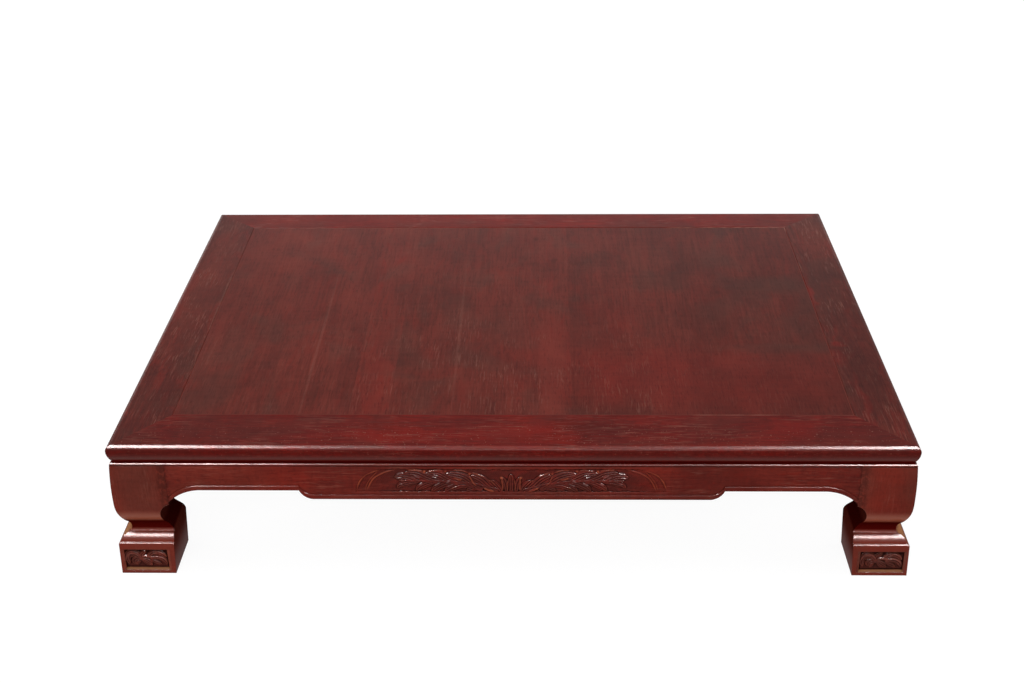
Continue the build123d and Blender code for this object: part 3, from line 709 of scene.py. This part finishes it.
def soften(a, turns):
    # running mean over neighbouring cells, edges held
    for _ in range(turns):
        p = np.pad(a, 1, mode="edge")
        a = (p[:-2, 1:-1] + p[2:, 1:-1] + p[1:-1, :-2] + p[1:-1, 2:] + 4 * p[1:-1, 1:-1]) / 8
    return a


def strayed(points, stray, seed):
    # the hand never cuts the same curve twice
    rng = np.random.default_rng(seed)
    return [(px + rng.uniform(-stray, stray), pz + rng.uniform(-stray, stray) * 0.7) for px, pz in points]


def halfRelief(side, z, squeeze, design, stray):
    def placed(points, seed):
        return [(squeeze(px), pz) for px, pz in strayed(points, stray, seed)]
    level = np.zeros(side.shape)
    rub = np.zeros(side.shape)
    glint = np.zeros(side.shape)
    for seed, (points, width, height, veins) in enumerate(design["lobes"]):
        level = np.maximum(level, lobe(placed(points, seed), side, z, width, height, veins=veins,
                                       veinDepth=carvingValues["veinDepth"]))
    for seed, (points, width, height) in enumerate(design["ridges"]):
        raised = ridge(placed(points, 100 + seed), side, z, width, height)
        level = level + raised
        if math.dist(points[0], points[-1]) < carvingValues["shortStroke"]:
            glint = np.maximum(glint, np.clip(raised * 1.5 - 0.3, 0, 1))
        else:
            rub = np.maximum(rub, raised / 1.6)
    for seed, (kx, kz, radius, height) in enumerate(design["knobs"]):
        (kx, kz), = placed([(kx, kz)], 200 + seed)
        raised = height * np.exp(-((side - kx) ** 2 + (z - kz) ** 2) / radius ** 2)
        level = level + raised
        rub = np.maximum(rub, raised * 1.8)
    return level, rub, glint


def apronRelief(x, z, squeeze, design):
    # Height over the apron's face, in mm. squeeze moves a design point along the apron.
    side = np.abs(x)
    right = [(squeeze(px), pz) for px, pz in design["border"]]
    outline = right + [(-px, pz) for px, pz in reversed(right)]
    inside = insideBy(outline, x, z)
    inside = inside + 0.35 * np.sin(x * 0.21) + 0.25 * np.sin(x * 0.67 + 1)
    sink = np.clip(inside / carvingValues["groundEdge"], 0, 1)
    sink = sink * sink * (3 - 2 * sink)
    # the ground swells gently between the leaf's tip and the end arcs
    tip, arc = squeeze(carvingValues["leafTip"]), squeeze(carvingValues["arcMiddle"])
    swell = np.clip((side - tip) / (arc - tip), 0, 1)
    ground = -carvingValues["ground"] * (1 - carvingValues["swell"] * swell)
    level, rub, glint = halfRelief(side, z, squeeze, design, 0)
    if carvingValues["waver"]:
        left = x < 0
        level[left], rub[left], glint[left] = halfRelief(side[left], z[left], squeeze, design,
                                                        carvingValues["waver"])
    # gouge marks left on the ground, and the hand's small unevenness everywhere
    marks = carvingValues["gouge"] * np.sin(x * 1.9 + 2 * np.sin(z * 0.4)) * np.sin(z * 1.3 + x * 0.2)
    uneven = np.sin(x * 0.83 + 1.7 * np.sin(z * 0.61)) + np.sin(x * 2.3 - z * 1.7)
    marks = marks + carvingValues["hand"] * uneven
    marked = {"rub": rub * sink, "glint": glint * sink, "sunk": sink * (1 - 0.9 * swell)}
    return np.minimum((level + ground + marks) * sink, carvingValues["highest"]), marked


def faceInset(z):
    # inset of the apron's bowed face in mm: the circle through three points of its section
    (y1, z1), (y2, z2), (y3, z3) = carvingValues["section"]
    square1, square2, square3 = y1 ** 2 + z1 ** 2, y2 ** 2 + z2 ** 2, y3 ** 2 + z3 ** 2
    d = 2 * (y1 * (z2 - z3) + y2 * (z3 - z1) + y3 * (z1 - z2))
    cy = (square1 * (z2 - z3) + square2 * (z3 - z1) + square3 * (z1 - z2)) / d
    cz = (square1 * (y3 - y2) + square2 * (y1 - y3) + square3 * (y2 - y1)) / d
    radius = math.hypot(y1 - cy, z1 - cz)
    bow = np.sqrt(radius ** 2 - (z - cz) ** 2)
    return cy - bow if cy > y2 else cy + bow


def carvedPiece(name, half, low, high, cell, relief, inset, floorInset, floorDepth, place, material,
                paintedShading=None):
    # A carved slab that fills its bed: a fine grid pushed into shape, with walls down to the
    # bed's floor and a flat back. It is made facing -Y at y = 0 and put in place by a matrix.
    columns = max(4, round(2 * half / cell[0]))
    rows = max(4, round((high - low) / cell[1]))
    bm = bmesh.new()
    bmesh.ops.create_grid(bm, x_segments=columns, y_segments=rows, size=0.5)
    bm.verts.ensure_lookup_table()
    flat = np.array([(v.co.x, v.co.y) for v in bm.verts])
    x = flat[:, 0] * 2 * half
    z = low + (flat[:, 1] + 0.5) * (high - low)
    height, marked = relief(x, z)
    border = (np.abs(np.abs(x) - half) < 1e-4) | (np.abs(z - low) < 1e-4) | (np.abs(z - high) < 1e-4)
    height = np.where(border, 0, height)

    order = np.lexsort((x.round(4), z.round(4)))
    surface = height[order].reshape(rows + 1, columns + 1)
    shading = shadingValues
    around = soften(surface, shading["turns"])
    # cells below the ones around them, and the deepest cells, get painted shade
    below = np.clip((around - surface - shading["hollowFrom"]) / shading["hollowOver"], 0, 1)
    deep = np.clip(-surface / floorDepth, 0, 1) ** 1.5
    above = np.clip((surface - around - shading["crestFrom"]) / shading["crestOver"], 0, 1)
    hollow = np.empty(len(x))
    crest = np.empty(len(x))
    hollow[order] = (below * shading["hollowMost"] + deep * shading["deep"]).clip(0, 1).ravel()
    crest[order] = above.ravel()

    bared = np.zeros(len(x))
    if paintedShading:
        footPanelShade, bared = paintedShading(x, z, height)
        hollow = np.maximum(hollow, footPanelShade)

    marked.update(hollow=hollow, crest=crest, bared=bared)
    for key in sorted(marked):
        bm.verts.layers.float.new(key)
    layers = [(bm.verts.layers.float[key], np.clip(marked[key], 0, 1)) for key in sorted(marked)]
    outward = -inset(z) + height
    for index, vert in enumerate(bm.verts):
        vert.co = (x[index] / 1000, -outward[index] / 1000, z[index] / 1000)
        for layer, amounts in layers:
            vert[layer] = amounts[index]
    rim = [edge for edge in bm.edges if edge.is_boundary]
    front = list(bm.faces)
    walls = bmesh.ops.extrude_edge_only(bm, edges=rim)["geom"]
    for vert in (item for item in walls if isinstance(item, bmesh.types.BMVert)):
        vert.co.y = floorInset(vert.co.z * 1000) / 1000
    back = [edge for edge in bm.edges if edge.is_boundary]
    bmesh.ops.edgeloop_fill(bm, edges=back)
    for face in front:
        face.smooth = True
    for edge in rim:
        edge.smooth = False
    bmesh.ops.recalc_face_normals(bm, faces=bm.faces)
    bmesh.ops.transform(bm, matrix=place, verts=bm.verts)
    piece = addMesh(name, bm, material)
    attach(piece, "root")


def squeezeLong(px):
    return px


def squeezeEnd(px):
    return px * carvingValues["endHalf"] / carvingValues["longHalf"]


# the end aprons are half as long, so they carry fewer lobes
endScroll = {
    "lobes": [leafScroll["lobes"][i] for i in (0, 2, 3, 5, 7, 9, 11, 12, 13)],
    "ridges": [leafScroll["ridges"][i] for i in (0, 1, 2, 8, 9, 11, 16, 17, 18, 19, 21, 22)],
    "knobs": leafScroll["knobs"][:3],
    "border": leafScroll["border"],
}


def turnedTo(side, halfSpan):
    # front, right, back, left: the slab faces outwards at halfSpan mm
    angle = {"front": 0, "right": 90, "back": 180, "left": -90}[side]
    return Matrix.Rotation(math.radians(angle), 4, "Z") @ Matrix.Translation((0, -halfSpan / 1000, 0))


def carveAprons(values):
    floorInset = values["bedFloor"]
    for side, halfSpan, half, squeeze, design, material in (
            ("front", halfDepth, values["longHalf"], squeezeLong, leafScroll, longCarvedWood),
            ("back", halfDepth, values["longHalf"], squeezeLong, leafScroll, longCarvedWood),
            ("left", halfLength, values["endHalf"], squeezeEnd, endScroll, endCarvedWood),
            ("right", halfLength, values["endHalf"], squeezeEnd, endScroll, endCarvedWood)):
        carvedPiece("apron_leaf_" + side, half, values["low"], values["high"], values["cell"],
                    lambda x, z, s=squeeze, d=design: apronRelief(x, z, s, d),
                    faceInset, lambda z: floorInset, values["ground"], turnedTo(side, halfSpan), material)


carveAprons(carvingValues)
print("apron carving made")


# The foot's panel in mm: x from its middle, z above the bed's lower edge
footScroll = {
    "lobes": [  # points, half width, height above the ground, vein spacing
        ([(-9, 21), (-15, 30.5), (-25, 31.5), (-30, 23), (-28, 13)], 5.6, 2.45, 3.6),
        ([(-8, 19), (-15, 21), (-21, 17), (-19, 12)], 4.2, 2.1, 3.2),
        ([(-12, 15.5), (-15, 13), (-17, 10.5)], 3.4, 1.7, 0),
        ([(-8, 21), (-7, 28), (-1, 35)], 4.8, 2.2, 3.2),
        ([(3, 25), (11, 32), (21, 31.5), (30, 25)], 5.2, 2.4, 3.4),
        ([(7, 22), (17, 23), (26, 19), (30, 12.5)], 5.0, 2.4, 3.3),
        ([(7, 18), (13, 14.5), (20, 11.5)], 3.8, 1.9, 3.0),
        ([(-6, 25), (3, 25.4), (13, 23)], 2.2, 2.7, 0),
        ([(-5.5, 19), (0, 15), (6, 10)], 6.0, 2.4, 3.0),
    ],
    "ridges": [
        ([(-8, 24), (-17, 31), (-27, 30), (-32, 20)], 0.9, 0.5),
        ([(9, 28.5), (17, 33), (27, 30.5), (32, 24)], 0.9, 0.5),
        ([(10, 24.5), (18, 25), (27, 21.5), (31, 14)], 1.0, 0.6),
        ([(-7, 25.4), (2, 26.4), (12, 24.4)], 1.1, 0.8),
        ([(-26, 22), (-20, 25.5), (-14, 25)], 0.9, 0.5),
    ],
}

footValues = {
    "ground": 2.4,           # mm below the foot's face
    "sill": 4.6,             # mm of slope up to the lower edge
    "wall": 0.9,             # mm over which the other sides fall
    "frame": (3.5, 3.5),     # mm of plain face left at the panel's two ends
    "cell": (0.46, 0.46),
    "bedFloor": 2.6,
    "half": 37, "low": 5.5, "high": 44.5,
    "soleInset": -5.0, "topInset": -3.4, "topHeight": 53.6,
    "bedMiddle": 36,         # mm from the rim line to the bed's middle
    "stray": 0.7,            # mm that the hand strays from the design
    "veinDepth": 0.75,
}


def footRelief(x, z, seed):
    up = z - footValues["low"]
    tall = footValues["high"] - footValues["low"]
    waver = 0.5 * np.sin(x * 0.31 + seed) + 0.35 * np.sin(x * 0.83 + 1)
    bottom = np.clip(up / (footValues["sill"] + waver), 0, 1) ** 0.8
    left = x + footValues["half"] - footValues["frame"][0]
    right = footValues["half"] - footValues["frame"][1] - x
    walls = np.minimum(np.minimum(left, right), tall - 0.6 - up) / footValues["wall"]
    sink = np.minimum(bottom, np.clip(walls, 0, 1))
    level = np.zeros(x.shape)
    for number, (points, width, height, veins) in enumerate(footScroll["lobes"]):
        bent = strayed(points, footValues["stray"], seed * 40 + number)
        level = np.maximum(level, lobe(bent, x, up, width, height, start=0.6, end=0.35, veins=veins,
                                       veinDepth=footValues["veinDepth"]))
    rub = np.zeros(x.shape)
    for number, (points, width, height) in enumerate(footScroll["ridges"]):
        raised = ridge(strayed(points, footValues["stray"], seed * 40 + 20 + number), x, up, width, height)
        level = level + raised
        rub = np.maximum(rub, raised * 0.5)
    marked = {"rub": rub * sink, "glint": rub * sink * 0.8, "sunk": sink}
    return np.clip(level - footValues["ground"], -footValues["ground"], 0.2) * sink, marked


def footShadeAndLight(x, z, height):
    # painted shade in the corners and deep parts of the foot's panel, and painted light with dust on the
    # slope under the leaves
    up = z - footValues["low"]
    tall = footValues["high"] - footValues["low"]
    deep = np.clip(-height / footValues["ground"], 0, 1) ** 0.7
    sill = footValues["sill"]
    top = np.clip((up - tall + 9) / 4, 0, 1)
    low = np.clip(1 - np.abs(up - sill - 1.2) / 1.8, 0, 1)
    ends = np.clip((np.abs(x) - footValues["half"] + 8) / 4, 0, 1)
    footPanelShade = np.clip(1.7 * deep * np.maximum(np.maximum(top, low), np.maximum(ends, 0.35)), 0, 1)
    bared = np.clip(1 - np.abs(up - sill * 0.5) / (sill * 0.5), 0, 1) ** 0.6
    return footPanelShade, bared * np.clip(footValues["half"] - 3 - np.abs(x), 0, 1)


def carveFeet(values):
    slant = (values["topInset"] - values["soleInset"]) / values["topHeight"]

    def inset(z):
        return values["soleInset"] + slant * z
    seed = 0
    bed = values["bedMiddle"]
    for sideX, nameX in ((-1, "left"), (1, "right")):
        for sideY, nameY in ((-1, "front"), (1, "back")):
            facePlace = Matrix.Translation((sideX * (halfLength - bed) / 1000, sideY * halfDepth / 1000, 0))
            faceTurn = Matrix.Rotation(0 if sideY < 0 else math.pi, 4, "Z")
            endPlace = Matrix.Translation((sideX * halfLength / 1000, sideY * (halfDepth - bed) / 1000, 0))
            endTurn = Matrix.Rotation(sideX * math.pi / 2, 4, "Z")
            for faceName, place in ((nameY, facePlace @ faceTurn), ("end", endPlace @ endTurn)):
                seed += 1
                carvedPiece("foot_leaf_%s_%s_%s" % (nameY, nameX, faceName), values["half"], values["low"],
                            values["high"], values["cell"], lambda x, z, n=seed: footRelief(x, z, n), inset,
                            lambda z: inset(z) + values["bedFloor"], values["ground"], place,
                            footCarvedWood, footShadeAndLight)


carveFeet(footValues)
print("foot carving made")


# Old wax and lacquer that fill the open line between the panel and its frame

waxValues = {
    "halfX": panelHalf, "front": -333.0, "back": 353.0,   # mm, the frame's opening
    "inner": 0.48,                    # mm in to the panel's edge
    "outer": 1.25,                    # mm out, up the frame's bevel
    "top": 229.45, "bottom": 228.3,
    "color": "#64261D", "pale": "#9A6050",
    # where it has dried pale: side, middle, half length, strength
    "stretches": [("back", 410, 125, 1.0), ("back", -200, 290, 0.5), ("front", 340, 70, 0.6)],
    "reach": 50,                      # mm, how far from its side a stretch counts
}


def waxMaterial(values):
    # soft wax stained by the lacquer, dull, pale where it has dried out
    material, tree = newMaterial("dried wax")
    add = partial(addNode, tree)
    place = add("TexCoord", out="Object")
    broken = add("TexNoise", {}, {"Vector": place, "Scale": 60.0, "Detail": 3.0})
    broken = add("MapRange", {}, (broken, 0.3, 0.6))
    color = linearColor(values["color"])
    for side, middle, half, strength in values["stretches"]:
        centre = (-middle / half, -values[side] / values["reach"], 0)
        away = add("VectorMath", timesPlus, (place, (1000 / half, 1000 / values["reach"], 0), centre))
        away = add("VectorMath", {"operation": "LENGTH"}, [away], "Value")
        near = add("MapRange", {}, (away, 1.0, 0.8, 0.0, strength))
        color = stained(tree, color, values["pale"], add("Math", times, (near, broken)))
    bump = add("Bump", {}, {"Strength": 0.3, "Distance": 0.0003, "Height": broken})
    shader = add("BsdfPrincipled", {}, {
        "Roughness": 0.6, "Specular IOR Level": 0.0, "Coat Weight": 0.11, "Coat Roughness": 0.27,
        "Base Color": color, "Normal": bump})
    addNode(tree, "OutputMaterial", {}, {"Surface": shader})
    return material


def makeWax(values):
    # a ring that is narrower below, where the frame's bevel runs down to the panel's edge
    front, back, halfX = (values[key] / 1000 for key in ("front", "back", "halfX"))
    inner, outer = values["inner"] / 1000, values["outer"] / 1000
    top, bottom = values["top"] / 1000, values["bottom"] / 1000
    bm = bmesh.new()
    bmesh.ops.create_grid(bm, x_segments=1, y_segments=1, size=1)
    bmesh.ops.scale(bm, vec=(halfX + outer, (back - front) / 2 + outer, 1), verts=bm.verts)
    bmesh.ops.translate(bm, vec=(0, (front + back) / 2, top), verts=bm.verts)
    ring = bmesh.ops.inset_region(bm, faces=list(bm.faces), thickness=inner + outer, use_boundary=True,
                                   use_even_offset=True)["faces"]
    bmesh.ops.delete(bm, geom=[face for face in bm.faces if face not in ring], context="FACES")
    below = bmesh.ops.extrude_face_region(bm, geom=list(bm.faces))["geom"]
    for vert in (item for item in below if isinstance(item, bmesh.types.BMVert)):
        vert.co.z = bottom
        if abs(vert.co.x) > halfX:
            vert.co.x -= math.copysign(top - bottom, vert.co.x)
            vert.co.y -= math.copysign(top - bottom, vert.co.y - (front + back) / 2)
    bmesh.ops.recalc_face_normals(bm, faces=bm.faces)
    piece = addMesh("panel_wax", bm, waxMaterial(values))
    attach(piece, "root")


makeWax(waxValues)
print("wax line made")


# Studio: pale floor, soft fills all round, and the strips and the wide panel that the lacquer mirrors

studioValues = {
    "floorSize": 24.0,
    "floorColor": "#8C8A88",      # what the floor gives back to the table
    "shadowColor": (0.14, 0.14, 0.14, 1),     # what it shows of the lamps' light, and so of the shadow
    "whitening": (1.2, 4.0),      # metres from the middle, where its glow starts and ends to rise
    "nearWhite": 0.92,            # the glow before that
    "white": 1.0,
    "worldLight": 0.36,
}


def whiteRays(tree):
    # 1 for camera, mirror and clear rays, which see white, and 0 for the light that falls on the table
    rays = addNode(tree, "LightPath", out="Is Camera Ray").node.outputs
    seen = addNode(tree, "Math", larger, (rays["Is Camera Ray"], rays["Is Glossy Ray"]))
    return addNode(tree, "Math", larger, (seen, rays["Is Transmission Ray"]))


def makeWorld(values):
    world = bpy.data.worlds.new("studio")
    bpy.context.scene.world = world
    world.use_nodes = True
    tree = world.node_tree
    tree.nodes.clear()
    strength = addNode(tree, "MapRange", {}, {"Value": whiteRays(tree), "To Min": values["worldLight"],
                                              "To Max": values["white"]})
    background = addNode(tree, "Background", {}, {"Color": (1, 1, 1, 1), "Strength": strength})
    addNode(tree, "OutputWorld", {}, {"Surface": background})


def floorMaterial(values):
    # seamless paper: grey to the table's own light, and nearly white to the camera, whitest far away
    material, tree = newMaterial("pale paper floor")
    add = partial(addNode, tree)
    matt = add("BsdfDiffuse", {}, {"Color": linearColor(values["floorColor"])})
    away = add("VectorMath", {"operation": "LENGTH"}, [add("TexCoord", out="Object")], "Value")
    away = add("MapRange", {}, (away, *values["whitening"], values["nearWhite"]))
    glow = add("Emission", {}, {"Color": (1, 1, 1, 1), "Strength": away})
    dim = add("BsdfDiffuse", {}, {"Color": values["shadowColor"]})
    bright = add("AddShader", {}, (glow, dim))
    mixed = add("MixShader", {}, (whiteRays(tree), matt, bright))
    addNode(tree, "OutputMaterial", {}, {"Surface": mixed})
    return material


def makeFloor(values):
    bm = bmesh.new()
    bmesh.ops.create_grid(bm, x_segments=1, y_segments=1, size=values["floorSize"] / 2)
    floor = addMesh("floor", bm, floorMaterial(values))


lampValues = {
    # place, size, aimed at, power in watts, and what it lights: all, matt or shine
    "front_fill": ((-0.5, -4.6, 2.0), (5.0, 3.0), (0.0, 0.0, 0.15), 170, "matt"),
    "left_fill": ((-4.6, 0.0, 1.6), (4.0, 2.4), (0.0, 0.0, 0.15), 70, "matt"),
    "right_fill": ((4.6, 0.0, 1.6), (4.0, 2.4), (0.0, 0.0, 0.15), 70, "matt"),
    "top_fill": ((-0.3, -0.2, 3.4), (2.4, 1.8), (0.0, 0.0, 0.2), 16, "matt"),
    "back_fill": ((0.0, 4.6, 2.4), (5.0, 3.0), (0.0, 0.0, 0.15), 70, "matt"),
    "strip_left": ((-1.35, -0.95, 2.2), (0.8, 2.2), (-1.35, -0.95, 0.0), 1080, "shine"),
    "strip_right": ((1.43, -0.95, 2.2), (0.8, 2.2), (1.43, -0.95, 0.0), 1190, "shine"),
    "front_glint": ((0.3, -4.4, 2.1), (1.6, 0.5), (0.0, 0.0, 0.15), 65, "shine"),
    "back_panel": ((-1.2, 8.0, 1.7), (10.5, 3.4), (-1.2, 0.0, 1.7), 390, "shine"),
}


def makeLamps(values):
    for name, (place, size, target, power, kind) in values.items():
        lamp = bpy.data.lights.new(name, "AREA")
        lamp.shape = "RECTANGLE"
        lamp.size, lamp.size_y = size
        lamp.energy = power
        lampObject = addObject(name, lamp)
        turn = (Vector(target) - Vector(place)).to_track_quat("-Z", "Y")
        lampObject.matrix_world = Matrix.Translation(place) @ turn.to_matrix().to_4x4()
        lampObject.visible_camera = False
        lampObject.visible_diffuse = kind != "shine"
        lampObject.visible_glossy = kind != "matt"


makeWorld(studioValues)
makeFloor(studioValues)
makeLamps(lampValues)

bpy.context.scene.view_settings.view_transform = "Standard"
print("studio set")
